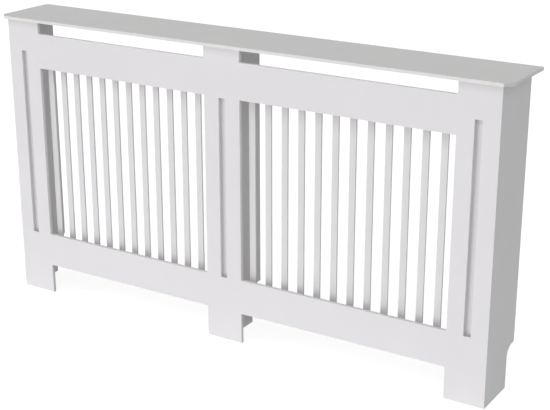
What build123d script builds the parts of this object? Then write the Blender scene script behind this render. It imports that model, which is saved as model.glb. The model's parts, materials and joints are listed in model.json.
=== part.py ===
from build123d import *
from typing import NamedTuple
import os

# A radiator cover cabinet: a slatted front frame that stands on three feet, a panel behind each stile, and
# a shelf over them all, open to the wall and the floor. Millimetres. +X runs to the right along the front,
# +Y back to the wall and +Z up. The origin is on the floor, under the middle of the shelf.

# Boards
frame_thickness = 9.0
panel_thickness = 9.0
shelf_thickness = 9.0

# Front frame, from left to right
stile_width = 109.0
left_bay_width = 554.5
right_bay_width = 593.5

# Front frame, from the floor up
foot_height = 86.0
bottom_rail_width = 97.0
bay_height = 493.0
top_rail_width = 97.0
slot_height = 33.0

# Depth: the panels stop short of the wall, and the shelf reaches it
cabinet_depth = 175.0
wall_space = 15.0
shelf_front_overhang = 10.0
shelf_side_overhang = 22.5
shelf_corner_clip = 18.0

# Groove down the face of each stile
groove_width = 20.0
groove_depth = 6.0
groove_corner_radius = 2.0
groove_foot_drop = 3.0
side_groove_top_space = 86.0
centre_groove_top_drop = 2.0

# Slats and the two battens that hold their ends
slat_count = 12
slat_width = 20.0
slat_thickness = 5.0
left_bay_slat_space = 18.0
right_bay_slat_space = 20.5
slat_batten_depth = 9.0
slat_batten_height = 20.0
slat_batten_setback = 10.0
slat_batten_lap = 12.0
slat_seat_depth = 12.0
slat_top_space = 0.5

# Stub tenons of the rails
tenon_thickness = 3.0
tenon_length = 10.0
tenon_shoulder = 12.0
tenon_end_space = 0.5

# Cut-out for the skirting board, at the foot of each panel
skirting_cut_depth = 42.0
skirting_cut_height = 111.0
skirting_cut_radius = 28.0

# Square battens in the corners and under the shelf
batten_size = 18.0
corner_batten_foot_space = 20.0
shelf_batten_setback = 12.0

# Wood screws
screw_shank_radius = 1.75
screw_head_radius = 3.5
screw_head_height = 2.0
screw_rim_height = 0.4
screw_tip_length = 3.0
screw_bite = 4.0
screw_counterbore = 2.0
screw_slot_width = 0.9
screw_slot_length = 3.8
screw_slot_depth = 1.2
corner_screw_count = 4
corner_screw_end_space = 70.0
corner_screw_stagger = 40.0
centre_screw_stagger = 30.0
shelf_screw_count = 3
shelf_screw_end_space = 24.0
shelf_screw_stagger = 12.0
slat_gaps_per_screw = 5

# Wall brackets
bracket_thickness = 2.0
bracket_width = 15.0
bracket_wall_leg = 36.0
bracket_lap = 20.0
bracket_bend_radius = 2.0
bracket_hole_radius = 2.5
bracket_hole_edge = 11.0
bracket_screw_length = 14.0
bracket_screw_edge = 5.0
bracket_screw_spacing = 10.0
pan_head_height = 2.2
pan_head_round = 1.4

# Softened edges and fits
edge_radius = 0.8
slat_edge_radius = 2.0
shelf_edge_radius = 1.2
joint_clearance = 0.1
cutter_overrun = 10.0

# Places that follow from the sizes
frame_width = 3 * stile_width + left_bay_width + right_bay_width
shelf_width = frame_width + 2 * shelf_side_overhang
shelf_depth = shelf_front_overhang + cabinet_depth + wall_space
front_y = shelf_front_overhang - shelf_depth / 2
frame_back_y = front_y + frame_thickness
panel_back_y = front_y + cabinet_depth
wall_y = shelf_depth / 2
bay_bottom = foot_height + bottom_rail_width
bay_top = bay_bottom + bay_height
slot_bottom = bay_top + top_rail_width
frame_height = slot_bottom + slot_height
bottom_rail_z = (foot_height, bay_bottom)
top_rail_z = (bay_top, slot_bottom)
side_groove_z = (bay_bottom - groove_foot_drop, frame_height - side_groove_top_space)
centre_groove_z = (bay_bottom - groove_foot_drop, bay_top - centre_groove_top_drop)
frame_left = -frame_width / 2
frame_right = frame_width / 2
left_bay = (frame_left + stile_width, frame_left + stile_width + left_bay_width)
right_bay = (frame_right - stile_width - right_bay_width, frame_right - stile_width)
centre_x = (left_bay[1] + right_bay[0]) / 2
left_panel = (frame_left, frame_left + panel_thickness)
centre_panel = (centre_x - panel_thickness / 2, centre_x + panel_thickness / 2)
right_panel = (frame_right - panel_thickness, frame_right)
tenon_y = (
    front_y + (frame_thickness - tenon_thickness) / 2,
    front_y + (frame_thickness + tenon_thickness) / 2,
)
slat_batten_y = (frame_back_y, frame_back_y + slat_batten_depth)
slat_y = (
    frame_back_y + (slat_batten_depth - slat_thickness) / 2,
    frame_back_y + (slat_batten_depth + slat_thickness) / 2,
)
low_batten_z = (bay_bottom - slat_batten_setback - slat_batten_height, bay_bottom - slat_batten_setback)
high_batten_z = (bay_top + slat_batten_setback, bay_top + slat_batten_setback + slat_batten_height)
low_seat_z = (low_batten_z[1] - slat_seat_depth, low_batten_z[1] + cutter_overrun)
high_seat_z = (high_batten_z[0] - cutter_overrun, high_batten_z[0] + slat_seat_depth)
slat_z = (low_seat_z[0], high_seat_z[1] - slat_top_space)
corner_batten_z = (corner_batten_foot_space, frame_height - batten_size)
shelf_batten_y = (frame_back_y, panel_back_y - shelf_batten_setback)
shelf_batten_z = (frame_height - batten_size, frame_height)
sunk_length = batten_size - screw_counterbore + screw_bite
bracket_z = (
    (shelf_batten_z[0] + shelf_batten_z[1] - bracket_width) / 2,
    (shelf_batten_z[0] + shelf_batten_z[1] + bracket_width) / 2,
)

LEFT = (-1, 0, 0)
RIGHT = (1, 0, 0)
FRONT = (0, -1, 0)
UP = (0, 0, 1)


class Spot(NamedTuple):
    """Where a batten lies along a panel: the panel's X range, the batten's side of it (-1 left, +1 right) and
    how far its screws into the panel are raised, so that they miss those of the batten on the other side."""

    panel: tuple
    side: int
    screw_lift: float = 0.0

    def batten_x(self):
        face = self.panel[1] if self.side > 0 else self.panel[0]
        return (face, face + self.side * batten_size)

    def batten_middle_x(self):
        return sum(self.batten_x()) / 2

    def batten_face_x(self):
        """The batten's face away from the panel."""
        return self.batten_x()[1]

    def towards_panel(self):
        return LEFT if self.side > 0 else RIGHT


CORNERS = {
    "left": Spot(left_panel, 1),
    "centre_left": Spot(centre_panel, -1),
    "centre_right": Spot(centre_panel, 1, centre_screw_stagger),
    "right": Spot(right_panel, -1),
}
SHELF_BATTENS = {"left": CORNERS["left"], "centre": CORNERS["centre_left"], "right": CORNERS["right"]}
BRACKETS = {"left": CORNERS["left"], "right": CORNERS["right"]}
BAYS = {"left": left_bay, "right": right_bay}


def block(x, y, z):
    """A box between the low and high value of each axis."""
    corner = Pos(min(x), min(y), min(z))
    return corner * Box(abs(x[1] - x[0]), abs(y[1] - y[0]), abs(z[1] - z[0]), align=(Align.MIN,) * 3)


def spread(low, high, count):
    """Evenly spaced places from low to high, both of them included."""
    return [low + (high - low) * i / (count - 1) for i in range(count)]


def edge_round(x, side, z):
    """What softening takes off an upright front edge. Side is +1 where the board lies to its left."""
    axis_x = x - side * edge_radius
    axis_y = front_y + edge_radius
    rod = Pos(axis_x, axis_y, sum(z) / 2) * Cylinder(edge_radius, z[1] - z[0])
    return block((x, axis_x), (front_y, axis_y), z) - rod


def front_edges(board):
    """The edges of a board's front face that run along X."""
    return [e for e in board.edges().filter_by(Axis.X) if abs(e.center().Y - front_y) < joint_clearance]


# Screws. A fixing is the middle of the head's top, the direction from head to tip, and the length.


def turned(outline):
    """A solid turned about Z from a half outline of (radius, height) points."""
    return revolve(Plane.XZ * make_face(Polyline(*outline, close=True)), Axis.Z)


def at_fixing(shape, fixing):
    """Puts a screw or a cutter made with its head at the origin and its tip down at a fixing."""
    place, way, length = fixing
    return Plane(origin=place, z_dir=tuple(-w for w in way)).location * shape


def drive_cross():
    """The cross that the screwdriver fits."""
    deep = (-screw_slot_depth, cutter_overrun)
    half = screw_slot_length / 2
    wide = screw_slot_width / 2
    return block((-half, half), (-wide, wide), deep) + block((-wide, wide), (-half, half), deep)


def countersunk_screw(fixing):
    length = fixing[2]
    outline = [
        (0, 0),
        (screw_head_radius, 0),
        (screw_head_radius, -screw_rim_height),
        (screw_shank_radius, -screw_head_height),
        (screw_shank_radius, screw_tip_length - length),
        (0, -length),
    ]
    return at_fixing(turned(outline) - drive_cross(), fixing)


def countersunk_hole(fixing):
    """Counterbore, countersink and shank hole for a screw sunk below the batten's face."""
    head = screw_head_radius + joint_clearance
    shank = screw_shank_radius + joint_clearance
    end = -fixing[2] - joint_clearance
    outline = [
        (0, cutter_overrun),
        (head, cutter_overrun),
        (head, -screw_rim_height),
        (shank, -screw_head_height),
        (shank, end),
        (0, end),
    ]
    return at_fixing(turned(outline), fixing)


def pan_head_screw(fixing):
    """A screw whose rounded head stands on the bracket."""
    length = fixing[2]
    outline = [
        (0, pan_head_height),
        (screw_head_radius, pan_head_height),
        (screw_head_radius, 0),
        (screw_shank_radius, 0),
        (screw_shank_radius, screw_tip_length - length),
        (0, -length),
    ]
    screw = turned(outline)
    screw = fillet(screw.edges().filter_by(GeomType.CIRCLE).sort_by(Axis.Z)[-1], pan_head_round)
    return at_fixing(screw - Pos(0, 0, pan_head_height) * drive_cross(), fixing)


def pan_screw_hole(fixing):
    """The shank's hole through the bracket and into the batten."""
    end = -fixing[2] - joint_clearance
    shank = screw_shank_radius + joint_clearance
    outline = [(0, cutter_overrun), (shank, cutter_overrun), (shank, end), (0, end)]
    return at_fixing(turned(outline), fixing)


def drilled(board, fixings):
    return board - [countersunk_hole(f) for f in fixings]


# Where the screws go


def slat_places(bay):
    """Left edge of each slat of a bay."""
    end_space = left_bay_slat_space if bay == left_bay else right_bay_slat_space
    return spread(bay[0] + end_space, bay[1] - end_space - slat_width, slat_count)


def slat_batten_fixings(bay, batten_z):
    """Screws from a slat batten into its rail, each halfway between two slats."""
    places = slat_places(bay)
    head_y = slat_batten_y[1] - screw_counterbore
    length = slat_batten_depth - screw_counterbore + screw_bite
    gaps = range(1, slat_count, slat_gaps_per_screw)
    middles = [(places[i - 1] + slat_width + places[i]) / 2 for i in gaps]
    return [((x, head_y, sum(batten_z) / 2), FRONT, length) for x in middles]


def corner_screw_levels(lift):
    low = corner_batten_z[0] + corner_screw_end_space
    high = corner_batten_z[1] - corner_screw_end_space - corner_screw_stagger - centre_screw_stagger
    return spread(low + lift, high + lift, corner_screw_count)


def corner_stile_fixings(spot):
    """Screws from a corner batten into its stile."""
    head_y = frame_back_y + batten_size - screw_counterbore
    return [((spot.batten_middle_x(), head_y, z), FRONT, sunk_length) for z in corner_screw_levels(0)]


def corner_panel_fixings(spot):
    """Screws from a corner batten into its panel."""
    head_x = spot.batten_face_x() - spot.side * screw_counterbore
    y = frame_back_y + batten_size / 2
    levels = corner_screw_levels(corner_screw_stagger + spot.screw_lift)
    return [((head_x, y, z), spot.towards_panel(), sunk_length) for z in levels]


def shelf_screw_places(offset):
    low = shelf_batten_y[0] + shelf_screw_end_space
    high = shelf_batten_y[1] - shelf_screw_end_space - bracket_lap - shelf_screw_stagger
    return spread(low + offset, high + offset, shelf_screw_count)


def shelf_top_fixings(spot):
    """Screws from a shelf batten up into the shelf."""
    head_z = shelf_batten_z[0] + screw_counterbore
    return [((spot.batten_middle_x(), y, head_z), UP, sunk_length) for y in shelf_screw_places(0)]


def shelf_panel_fixings(spot):
    """Screws from a shelf batten into its panel."""
    head_x = spot.batten_face_x() - spot.side * screw_counterbore
    places = shelf_screw_places(shelf_screw_stagger)
    return [((head_x, y, sum(shelf_batten_z) / 2), spot.towards_panel(), sunk_length) for y in places]


def bracket_fixings(spot):
    """Screws from a wall bracket into its shelf batten."""
    head_x = spot.batten_face_x() + spot.side * bracket_thickness
    last = shelf_batten_y[1] - bracket_screw_edge
    places = (last - bracket_screw_spacing, last)
    return [((head_x, y, sum(bracket_z) / 2), spot.towards_panel(), bracket_screw_length) for y in places]


# Boards of the front frame


def tenon_z(rail_z):
    return (rail_z[0] + tenon_shoulder, rail_z[1] - tenon_shoulder)


def rail(bay, rail_z, fixings):
    """A rail with a stub tenon at each end and softened front edges."""
    body = block(bay, (front_y, frame_back_y), rail_z)
    body = fillet(front_edges(body), edge_radius)
    body += block((bay[0] - tenon_length, bay[1] + tenon_length), tenon_y, tenon_z(rail_z))
    return drilled(body, fixings)


def mortise(x, side, rail_z):
    """The slot in a stile's edge at x for a rail's tenon. Side is +1 where the stile lies to the left."""
    deep = (x + side * cutter_overrun, x - side * (tenon_length + tenon_end_space))
    wide = (tenon_y[0] - joint_clearance, tenon_y[1] + joint_clearance)
    low, high = tenon_z(rail_z)
    return block(deep, wide, (low - joint_clearance, high + joint_clearance))


def stile(x, open_sides, groove_z, fixings):
    """A stile and its foot. Its bay edges are softened only where no rail meets them."""
    board = block((x, x + stile_width), (front_y, frame_back_y), (0, frame_height))
    cuts = [groove(x + stile_width / 2, groove_z)]
    for side in (-1, 1):
        edge = x + stile_width if side > 0 else x
        if side not in open_sides:
            cuts.append(edge_round(edge, side, (0, frame_height)))
            continue
        for span in ((0, foot_height), (bay_bottom, bay_top), (slot_bottom, frame_height)):
            cuts.append(edge_round(edge, side, span))
        for rail_z in (bottom_rail_z, top_rail_z):
            cuts.append(mortise(edge, side, rail_z))
    return drilled(board - cuts, fixings)


def groove(x, z):
    """The flat groove down a stile's face, square at both ends but for small corners."""
    length = z[1] - z[0]
    outline = RectangleRounded(groove_width, length, groove_corner_radius)
    floor = Plane(origin=(x, front_y + groove_depth, z[0] + length / 2), x_dir=RIGHT, z_dir=FRONT)
    return extrude(floor * outline, groove_depth + cutter_overrun)


# Slats


def slat(x):
    bar = block((x, x + slat_width), slat_y, slat_z)
    return fillet(bar.edges().filter_by(Axis.Z), slat_edge_radius)


def slat_batten(bay, batten_z, seat_z, fixings):
    """A batten behind a rail with a blind mortise for the end of each slat."""
    bar = block((bay[0] - slat_batten_lap, bay[1] + slat_batten_lap), slat_batten_y, batten_z)
    seat_y = (slat_y[0] - joint_clearance, slat_y[1] + joint_clearance)
    seat_width = slat_width + 2 * joint_clearance
    lefts = [x - joint_clearance for x in slat_places(bay)]
    seats = [block((left, left + seat_width), seat_y, seat_z) for left in lefts]
    return drilled(bar - seats, fixings)


# Panels, battens, shelf and brackets


def panel_board(panel, fixings):
    """A board behind a stile, cut away at its foot for the skirting board and softened along its back."""
    board = block(panel, (frame_back_y, panel_back_y), (0, frame_height))
    cut_y = panel_back_y - skirting_cut_depth
    wide = (panel[0] - cutter_overrun, panel[1] + cutter_overrun)
    cut = block(wide, (cut_y, panel_back_y + cutter_overrun), (-cutter_overrun, skirting_cut_height))
    inner = [e for e in cut.edges().filter_by(Axis.X) if e.center().Y < panel_back_y and e.center().Z > 0]
    board -= fillet(inner, skirting_cut_radius)
    soft = [e for e in board.edges() if e.center().Y > cut_y - joint_clearance and on_open_back(e, panel)]
    return drilled(fillet(soft, edge_radius), fixings)


def on_open_back(edge, panel):
    """Whether an edge runs along one of a panel's two faces, clear of the floor and the shelf."""
    place = edge.center()
    on_face = min(abs(place.X - panel[0]), abs(place.X - panel[1])) < joint_clearance
    return on_face and joint_clearance < place.Z < frame_height - joint_clearance


def corner_batten(spot):
    bar = block(spot.batten_x(), (frame_back_y, frame_back_y + batten_size), corner_batten_z)
    return drilled(bar, corner_stile_fixings(spot) + corner_panel_fixings(spot))


def shelf_batten(spot, has_bracket):
    bar = block(spot.batten_x(), shelf_batten_y, shelf_batten_z)
    bar = drilled(bar, shelf_top_fixings(spot) + shelf_panel_fixings(spot))
    return bar - [pan_screw_hole(f) for f in bracket_fixings(spot)] if has_bracket else bar


def shelf(fixings):
    """The top board, with its two front corners clipped and every edge softened."""
    half = shelf_width / 2
    back = shelf_depth / 2
    front = -shelf_depth / 2
    clip = shelf_corner_clip
    outline = Polyline(
        (-half, back),
        (half, back),
        (half, front + clip),
        (half - clip, front),
        (-half + clip, front),
        (-half, front + clip),
        close=True,
    )
    board = extrude(Pos(0, 0, frame_height) * make_face(outline), shelf_thickness)
    return drilled(fillet(board.edges(), shelf_edge_radius), fixings)


def wall_bracket(spot):
    """A steel angle: one leg on the shelf batten, the other flat against the wall."""
    face = spot.batten_face_x()
    bend_x = face + spot.side * bracket_thickness
    bend_y = wall_y - bracket_thickness
    start_y = shelf_batten_y[1] - bracket_lap
    batten_leg = block((face, bend_x), (start_y, wall_y), bracket_z)
    wall_leg = block((face, face + spot.side * bracket_wall_leg), (bend_y, wall_y), bracket_z)
    angle = batten_leg + wall_leg
    angle = fillet(upright_edge(angle, bend_x, bend_y), bracket_bend_radius)
    angle = fillet(upright_edge(angle, face, wall_y), bracket_bend_radius + bracket_thickness)
    hole_x = face + spot.side * (bracket_wall_leg - bracket_hole_edge)
    drill = Cylinder(bracket_hole_radius, cutter_overrun)
    hole = Pos(hole_x, wall_y, sum(bracket_z) / 2) * Rot(90, 0, 0) * drill
    return angle - hole - [pan_screw_hole(f) for f in bracket_fixings(spot)]


def upright_edge(shape, x, y):
    """The upright edge of a shape nearest to a place in plan."""
    return min(shape.edges().filter_by(Axis.Z), key=lambda e: abs(e.center().X - x) + abs(e.center().Y - y))


# The whole cabinet, node by node


def gathered(function, spots):
    """The fixings of every spot, in one list."""
    return [fixing for spot in spots for fixing in function(spot)]


def spots_on(panel, spots):
    return [spot for spot in spots.values() if spot.panel == panel]


def frame_nodes():
    nodes = {}
    for name, bay in BAYS.items():
        nodes[f"bottom_rail_{name}"] = rail(bay, bottom_rail_z, slat_batten_fixings(bay, low_batten_z))
        nodes[f"top_rail_{name}"] = rail(bay, top_rail_z, slat_batten_fixings(bay, high_batten_z))
    stiles = {
        "left": (frame_left, (1,), side_groove_z, left_panel),
        "centre": (left_bay[1], (-1, 1), centre_groove_z, centre_panel),
        "right": (right_bay[1], (-1,), side_groove_z, right_panel),
    }
    for name, (x, open_sides, groove_z, panel) in stiles.items():
        fixings = gathered(corner_stile_fixings, spots_on(panel, CORNERS))
        nodes[f"stile_{name}"] = stile(x, open_sides, groove_z, fixings)
    return nodes


def slat_nodes():
    nodes = {}
    for name, bay in BAYS.items():
        for number, x in enumerate(slat_places(bay), start=1):
            nodes[f"slat_{name}_{number:02d}"] = slat(x)
        low_fixings = slat_batten_fixings(bay, low_batten_z)
        high_fixings = slat_batten_fixings(bay, high_batten_z)
        nodes[f"slat_batten_bottom_{name}"] = slat_batten(bay, low_batten_z, low_seat_z, low_fixings)
        nodes[f"slat_batten_top_{name}"] = slat_batten(bay, high_batten_z, high_seat_z, high_fixings)
    return nodes


def panel_nodes():
    nodes = {}
    panels = {"side_panel_left": left_panel, "centre_panel": centre_panel, "side_panel_right": right_panel}
    for name, panel in panels.items():
        corner_fixings = gathered(corner_panel_fixings, spots_on(panel, CORNERS))
        shelf_fixings = gathered(shelf_panel_fixings, spots_on(panel, SHELF_BATTENS))
        nodes[name] = panel_board(panel, corner_fixings + shelf_fixings)
    return nodes


def batten_and_shelf_nodes():
    nodes = {}
    for name, spot in CORNERS.items():
        nodes[f"corner_batten_{name}"] = corner_batten(spot)
    for name, spot in SHELF_BATTENS.items():
        nodes[f"shelf_batten_{name}"] = shelf_batten(spot, name in BRACKETS)
    for name, spot in BRACKETS.items():
        nodes[f"wall_bracket_{name}"] = wall_bracket(spot)
    nodes["top_shelf"] = shelf(gathered(shelf_top_fixings, SHELF_BATTENS.values()))
    return nodes


def screw_nodes():
    rail_fixings = []
    for bay in BAYS.values():
        rail_fixings += slat_batten_fixings(bay, low_batten_z) + slat_batten_fixings(bay, high_batten_z)
    groups = {
        "screws_slat_batten_to_rail": rail_fixings,
        "screws_corner_batten_to_stile": gathered(corner_stile_fixings, CORNERS.values()),
        "screws_corner_batten_to_panel": gathered(corner_panel_fixings, CORNERS.values()),
        "screws_shelf_batten_to_shelf": gathered(shelf_top_fixings, SHELF_BATTENS.values()),
        "screws_shelf_batten_to_panel": gathered(shelf_panel_fixings, SHELF_BATTENS.values()),
    }
    nodes = {name: Compound([countersunk_screw(f) for f in fixings]) for name, fixings in groups.items()}
    bracket_screws = [pan_head_screw(f) for f in gathered(bracket_fixings, BRACKETS.values())]
    nodes["screws_wall_bracket"] = Compound(bracket_screws)
    return nodes


os.makedirs("parts", exist_ok=True)
all_nodes = {**frame_nodes(), **slat_nodes(), **panel_nodes(), **batten_and_shelf_nodes(), **screw_nodes()}
for node, solids in all_nodes.items():
    export_step(solids, f"parts/{node}.step")
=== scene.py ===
import json
import math

import bmesh
import bpy
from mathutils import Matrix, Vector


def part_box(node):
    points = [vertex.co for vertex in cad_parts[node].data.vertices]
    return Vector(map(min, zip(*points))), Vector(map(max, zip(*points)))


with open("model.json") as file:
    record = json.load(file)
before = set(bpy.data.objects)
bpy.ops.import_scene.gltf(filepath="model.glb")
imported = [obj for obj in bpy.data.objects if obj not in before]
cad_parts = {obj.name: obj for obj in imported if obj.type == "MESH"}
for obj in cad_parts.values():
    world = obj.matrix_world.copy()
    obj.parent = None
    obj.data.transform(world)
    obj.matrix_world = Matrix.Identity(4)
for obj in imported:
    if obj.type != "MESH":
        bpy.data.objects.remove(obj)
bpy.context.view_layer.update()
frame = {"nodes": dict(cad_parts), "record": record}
NODES = frame["nodes"]

# Places and sizes are in metres and angles in degrees. Only the camera's lens and sensor are in millimetres.

# Heights on the cabinet, from the frame
SHELF_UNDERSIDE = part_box("top_shelf")[0][2]
BAY_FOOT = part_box("bottom_rail_left")[1][2]
BAY_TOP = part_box("top_rail_left")[0][2]

# The view
CAMERA_PLACE = (1.7507, -2.6901, 1.4930)
CAMERA_TURN = 31.764
CAMERA_TILT = 19.406
CAMERA_LENS = 83.125
CAMERA_SENSOR = 36.0

# The light: soft boxes overhead and to the front right, and two wide lamps at the front left that graze the
# front. The low lamp shines up through the floor, which is a light table. A box has its direction, which points
# to it, and its strength. A lamp has its strength and the rise of its light.
TOP_BOX = ((0.0, 0.0, 1.0), 0.33)
SIDE_BOX = ((0.751, -0.501, 0.430), 0.98)
LAMPS = {"low_lamp": (2.26, 40.0), "high_lamp": (1.02, -25.0)}
LAMP_TURN = 59.0
LAMP_SPREAD = 40.0

# The floor
FLOOR_SIZE = 60.0
FLOOR_COLOUR = (0.6, 0.6, 0.6, 1.0)
FLOOR_GLOW = 0.78
WHITE = (1.0, 1.0, 1.0, 1.0)

# Paint: its colours, and the scale of its clouds, its orange peel, the fibres under it and its worn patches
PAINT = {
    "painted_shelf": (0.869, 0.872, 0.863),
    "painted_frame": (0.87, 0.853, 0.875),
    "painted_slats": (0.825, 0.815, 0.83),
    "painted_panels": (0.86, 0.86, 0.86),
}
PAINT_IOR = 1.38
PAINT_RELIEF = 0.00006
CLOUD_SCALE = 6.0
PEEL_SCALE = 420.0
FIBRE_SCALE = 1500.0
WORN_SCALE = 55.0
WORN_REACH = 0.0022

# Painted shade in the corners, where the slats meet the rails and the stiles meet the shelf: the grey the paint
# is blended towards, the height of a corner, how far the painted shade reaches up or down from it, and its
# share
SHADE_GREY = (0.42, 0.41, 0.40, 1.0)
SHADED_CORNERS = {
    "painted_frame": ((SHELF_UNDERSIDE, -0.026, 0.24),),
    "painted_slats": (
        (BAY_FOOT - 0.002, 0.034, 0.46),
        (BAY_FOOT - 0.002, 0.09, 0.18),
        (BAY_TOP + 0.002, -0.06, 0.35),
    ),
}

# The stiles' grooves: the heights of their ends, and how far the painted shade at an end reaches into the
# groove
GROOVE_FOOT = BAY_FOOT - 0.003
GROOVE_TOPS = {
    "stile_left": SHELF_UNDERSIDE - 0.086,
    "stile_centre": BAY_TOP - 0.002,
    "stile_right": SHELF_UNDERSIDE - 0.086,
}
GROOVE_WIDTH = 0.020
GROOVE_DEPTH = 0.006
GROOVE_END = 0.018

# Softwood: its colours, the scale of its growth lines and pores, and how far these are drawn out on a batten
EARLY_WOOD = (0.66, 0.47, 0.27, 1.0)
MIDDLE_WOOD = (0.60, 0.41, 0.22, 1.0)
LATE_WOOD = (0.47, 0.29, 0.14, 1.0)
PORES = (0.42, 0.27, 0.14, 1.0)
RING_SCALE = 120.0
PORE_SCALE = 900.0
GRAIN_STRETCH = 0.06
GRAIN_SHIFT = (0.37, 0.21, 0.13)
TIMBER_RELIEF = 0.0002

# Zinc plating: the bright and the dull colour of brackets and of screws, and the scale of spangle, film and
# scratches
BRACKET_ZINC = ((0.66, 0.67, 0.69), (0.50, 0.50, 0.50))
SCREW_ZINC = ((0.72, 0.66, 0.48), (0.55, 0.47, 0.36))
SPANGLE_SCALE = 350.0
FILM_SCALE = 90.0
SCRATCH_SCALE = 2500.0
SCRATCH_STRETCH = (1.0, 1.0, 0.08)
STEEL_RELIEF = 0.00003


# Shader arithmetic


class Signal:
    """A socket of a material's nodes that takes part in Python arithmetic."""

    def __init__(self, nodes, socket):
        self.nodes = nodes
        self.socket = socket

    def _maths(self, operation, first, second):
        return self.nodes.node("Math", {"operation": operation}, {0: first, 1: second})

    def __add__(self, other):
        return self._maths("ADD", self, other)

    def __radd__(self, other):
        return self._maths("ADD", other, self)

    def __sub__(self, other):
        return self._maths("SUBTRACT", self, other)

    def __rsub__(self, other):
        return self._maths("SUBTRACT", other, self)

    def __mul__(self, other):
        return self._maths("MULTIPLY", self, other)

    def __rmul__(self, other):
        return self._maths("MULTIPLY", other, self)

    def __abs__(self):
        return self._maths("ABSOLUTE", self, 0.0)

    def at_least(self, other):
        return self._maths("MAXIMUM", self, other)

    def at_most(self, other):
        return self._maths("MINIMUM", self, other)


class Nodes:
    """A node tree, emptied, and the one way every node in it is made."""

    def __init__(self, owner):
        owner.use_nodes = True
        self.tree = owner.node_tree
        self.tree.nodes.clear()

    def node(self, kind, settings=None, sockets=None, output=0):
        """Makes a node, sets its settings and then its sockets, and gives one of its outputs."""
        made = self.tree.nodes.new("ShaderNode" + kind)
        for key, value in (settings or {}).items():
            if key == "stops":
                self._set_stops(made.color_ramp, value)
            else:
                setattr(made, key, value)
        for key, value in (sockets or {}).items():
            if isinstance(value, Signal):
                self.tree.links.new(value.socket, made.inputs[key])
            else:
                made.inputs[key].default_value = value
        return Signal(self, made.outputs[output]) if made.outputs else None

    def _set_stops(self, ramp, stops):
        while len(ramp.elements) < len(stops):
            ramp.elements.new(1.0)
        for element, (position, colour) in zip(ramp.elements, stops):
            element.position = position
            element.color = colour

    def axes(self, vector):
        return [self.node("SeparateXYZ", sockets={0: vector}, output=axis) for axis in range(3)]

    def seen_directly(self):
        """1 for what the camera sees, also in a mirror or through glass, and 0 for light on the object."""
        kinds = ("Is Camera Ray", "Is Glossy Ray", "Is Transmission Ray")
        camera, mirrored, through = [self.node("LightPath", output=kind) for kind in kinds]
        return camera.at_least(mirrored).at_least(through)


class Finish(Nodes):
    """The node tree of one material, which takes its patterns from the place on the object."""

    def __init__(self, name):
        self.material = bpy.data.materials.new(name)
        super().__init__(self.material)

    def object_place(self):
        return self.node("TexCoord", output="Object")

    def fade(self, value, low, high):
        """0 at low, 1 at high, smooth between."""
        settings = {"interpolation_type": "SMOOTHSTEP"}
        return self.node("MapRange", settings, {"Value": value, "From Min": low, "From Max": high})

    def noise(self, place, scale, detail=2.0, roughness=0.5, distortion=0.0):
        sockets = {
            "Vector": place,
            "Scale": scale,
            "Detail": detail,
            "Roughness": roughness,
            "Distortion": distortion,
        }
        return self.node("TexNoise", {}, sockets)

    def blend(self, mask, first, second):
        """The first colour where the mask is 0, the second where it is 1."""
        settings = {"data_type": "RGBA"}
        return self.node("Mix", settings, {0: mask, 6: first, 7: second}, output=2)

    def relief(self, height, depth, strength):
        return self.node("Bump", {}, {"Strength": strength, "Distance": depth, "Height": height})

    def surface(self, **sockets):
        """The finished material. A socket's name is written with _ for a space."""
        named = {name.replace("_", " "): value for name, value in sockets.items()}
        shader = self.node("BsdfPrincipled", {}, named)
        self.node("OutputMaterial", {}, {"Surface": shader})
        return self.material


def rgba(colour, factor=1.0):
    return (*[part * factor for part in colour], 1.0)


# Finishes


def edge_nearness(finish, place, node, reach):
    """1 on the sharp edges of a node's box, fading to 0 over a reach."""
    low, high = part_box(node)
    nearest = []
    for axis, value in enumerate(finish.axes(place)):
        nearest.append((value - low[axis]).at_most(high[axis] - value))
    x, y, z = nearest
    largest = x.at_least(y).at_least(z)
    smallest = x.at_most(y).at_most(z)
    middle = x + y + z - largest - smallest
    return 1.0 - finish.fade(middle, 0.0, reach)


def corner_shade(finish, place, corners):
    """The share of painted shade that darkens each of a piece's corners."""
    height = finish.axes(place)[2]
    return [share * (1.0 - finish.fade(height, corner, corner + reach)) for corner, reach, share in corners]


def groove_shade(finish, place, node):
    """The share of painted shade in a stile's groove, darkest at the groove's ends."""
    low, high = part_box(node)
    x, y, z = finish.axes(place)
    across = abs(x - (low[0] + high[0]) / 2)
    depth = y - low[1]
    beside = finish.fade(across, GROOVE_WIDTH / 2 + 0.0002, GROOVE_WIDTH / 2 + 0.0006)
    behind = finish.fade(depth, GROOVE_DEPTH + 0.0003, GROOVE_DEPTH + 0.001)
    inside = finish.fade(depth, 0.0005, 0.003) * (1.0 - beside) * (1.0 - behind)
    foot = 1.0 - finish.fade(z, GROOVE_FOOT, GROOVE_FOOT + GROOVE_END)
    top = finish.fade(z, GROOVE_TOPS[node] - GROOVE_END, GROOVE_TOPS[node])
    return inside * (0.20 + 0.34 * foot + 0.18 * top)


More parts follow.
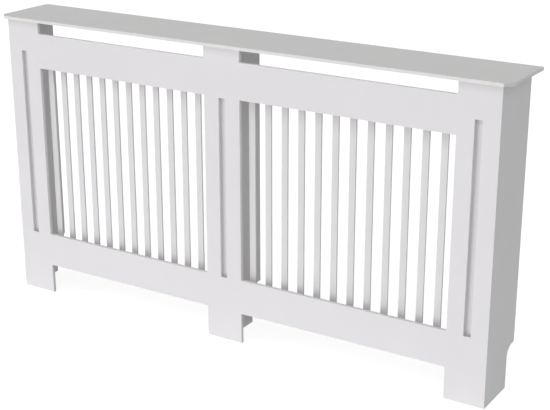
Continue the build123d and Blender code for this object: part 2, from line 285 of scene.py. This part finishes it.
def paint_finish(node, slot):
    """Satin white paint sprayed on fibreboard: orange peel, faint clouds, worn edges, painted shade in corners
    and grooves.
    """
    colour = PAINT[slot]
    finish = Finish("paint_" + node)
    place = finish.object_place()
    clouds = finish.noise(place, CLOUD_SCALE, 3.0)
    peel = finish.noise(place, PEEL_SCALE)
    fibres = finish.noise(place, FIBRE_SCALE, 3.0, 0.6)
    patches = finish.fade(finish.noise(place, WORN_SCALE, 4.0), 0.42, 0.68)
    worn = edge_nearness(finish, place, node, WORN_REACH) * patches
    tone = finish.blend(finish.fade(clouds, 0.3, 0.7), rgba(colour, 0.988), rgba(colour, 1.012))
    tone = finish.blend(worn * 0.25, tone, rgba(colour, 0.88))
    painted_shades = corner_shade(finish, place, SHADED_CORNERS.get(slot, ()))
    # Painted shade in the stile's groove
    if node in GROOVE_TOPS:
        painted_shades.append(groove_shade(finish, place, node))
    for share in painted_shades:
        # Painted shade: the paint is blended towards a grey where shade falls in corners and grooves
        tone = finish.blend(share * (0.85 + 0.3 * clouds), tone, SHADE_GREY)
    roughness = 0.58 + 0.08 * clouds + 0.12 * worn
    bump = finish.relief(0.7 * peel + 0.3 * fibres, PAINT_RELIEF, 0.25)
    return finish.surface(Base_Color=tone, Roughness=roughness, Normal=bump, IOR=PAINT_IOR)


def timber_finish(node, seed):
    """Planed softwood: growth lines along the batten, darker late wood, fine pores."""
    low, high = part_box(node)
    size = high - low
    stretch = [GRAIN_STRETCH if size[axis] == max(size) else 1.0 for axis in range(3)]
    finish = Finish("timber_" + node)
    shift = [seed * step for step in GRAIN_SHIFT]
    grain = finish.node("Mapping", {}, {"Vector": finish.object_place(), "Location": shift, "Scale": stretch})
    rings = finish.noise(grain, RING_SCALE, 2.0, 0.4, 1.2)
    pores = finish.noise(grain, PORE_SCALE, 3.0, 0.6)
    stops = [(0.35, EARLY_WOOD), (0.55, MIDDLE_WOOD), (0.62, LATE_WOOD), (0.72, EARLY_WOOD)]
    tone = finish.node("ValToRGB", {"stops": stops}, {"Fac": rings})
    tone = finish.blend(finish.fade(pores, 0.5, 0.75) * 0.35, tone, PORES)
    bump = finish.relief(0.6 * rings + 0.4 * pores, TIMBER_RELIEF, 0.35)
    return finish.surface(Base_Color=tone, Roughness=0.55 + 0.2 * pores, Normal=bump)


def steel_finish(node, bright, dull):
    """Zinc-plated steel: faint spangle, scratches and a duller film in patches."""
    finish = Finish("zinc_" + node)
    place = finish.object_place()
    cells = {"Vector": place, "Scale": SPANGLE_SCALE}
    spangle = finish.node("TexVoronoi", {"feature": "F1"}, cells, output="Color")
    grey = finish.node("RGBToBW", {}, {0: spangle})
    film = finish.fade(finish.noise(place, FILM_SCALE, 4.0), 0.35, 0.7)
    drawn_out = finish.node("Mapping", {}, {"Vector": place, "Scale": SCRATCH_STRETCH})
    scratches = finish.noise(drawn_out, SCRATCH_SCALE)
    tone = finish.blend(film * 0.5, rgba(bright), rgba(dull))
    tone = finish.blend(grey * 0.12, tone, rgba(bright, 0.75))
    roughness = 0.28 + 0.16 * film + 0.10 * scratches
    bump = finish.relief(scratches, STEEL_RELIEF, 0.2)
    return finish.surface(Base_Color=tone, Metallic=1.0, Roughness=roughness, Normal=bump)


def dress_cabinet():
    """Gives every node of the frame a finish of its own, by its material slot in the record."""
    slots = {entry["node"]: entry["material_slot"] for entry in frame["record"]["subparts"]}
    for seed, (node, slot) in enumerate(sorted(slots.items())):
        if slot in PAINT:
            material = paint_finish(node, slot)
        elif slot == "batten_timber":
            material = timber_finish(node, seed)
        elif slot == "bracket_steel":
            material = steel_finish(node, *BRACKET_ZINC)
        else:
            material = steel_finish(node, *SCREW_ZINC)
        NODES[node].material_slots[0].material = material


# The studio


def make_floor():
    """A light table: lamps shine through it, and the camera sees it pale, with the cabinet's shadow on it."""
    shape = bmesh.new()
    bmesh.ops.create_grid(shape, x_segments=1, y_segments=1, size=FLOOR_SIZE / 2)
    mesh = bpy.data.meshes.new("floor")
    shape.to_mesh(mesh)
    shape.free()
    floor = bpy.data.objects.new("floor", mesh)
    bpy.context.scene.collection.objects.link(floor)
    finish = Finish("floor")
    ground = finish.node("BsdfDiffuse", {}, {"Color": FLOOR_COLOUR})
    glow = finish.node("Emission", {}, {"Color": WHITE, "Strength": FLOOR_GLOW})
    pale = finish.node("AddShader", {}, {0: ground, 1: glow})
    seen = finish.node("MixShader", {}, {0: finish.seen_directly(), 1: ground, 2: pale})
    finish.node("OutputMaterial", {}, {"Surface": seen})
    mesh.materials.append(finish.material)
    floor.visible_shadow = False


def soft_box(sky, place, direction, strength):
    """The light of a soft box far away: full at its middle, and fading out 90 degrees from it."""
    along = sky.node("VectorMath", {"operation": "DOT_PRODUCT"}, {0: place, 1: direction}, output="Value")
    facing = along.at_least(0.0)
    return facing * facing * strength


def make_sky():
    """The soft boxes, over the horizon only, and plain white wherever the camera looks past the cabinet."""
    world = bpy.data.worlds.new("studio")
    bpy.context.scene.world = world
    sky = Nodes(world)
    place = sky.node("TexCoord", output="Generated")
    above = sky.node("Math", {"operation": "GREATER_THAN"}, {0: sky.axes(place)[2], 1: 0.0})
    light = above * (soft_box(sky, place, *TOP_BOX) + soft_box(sky, place, *SIDE_BOX))
    direct = sky.seen_directly()
    strength = light * (1.0 - direct) + direct
    background = sky.node("Background", {}, {"Color": WHITE, "Strength": strength})
    sky.node("OutputWorld", {}, {"Surface": background})


def make_lamps():
    for name, (strength, rise) in LAMPS.items():
        lamp = bpy.data.lights.new(name, "SUN")
        lamp.energy = strength
        lamp.angle = math.radians(LAMP_SPREAD)
        stand = bpy.data.objects.new(name, lamp)
        stand.rotation_euler = (math.radians(90.0 + rise), 0.0, math.radians(-LAMP_TURN))
        bpy.context.scene.collection.objects.link(stand)


def make_camera():
    view = bpy.data.cameras.new("camera")
    view.lens = CAMERA_LENS
    view.sensor_width = CAMERA_SENSOR
    camera = bpy.data.objects.new("camera", view)
    camera.location = CAMERA_PLACE
    camera.rotation_euler = (math.radians(90.0 - CAMERA_TILT), 0.0, math.radians(CAMERA_TURN))
    bpy.context.scene.collection.objects.link(camera)
    bpy.context.scene.camera = camera


dress_cabinet()
make_floor()
make_sky()
make_lamps()
make_camera()
bpy.context.scene.view_settings.view_transform = "Standard"
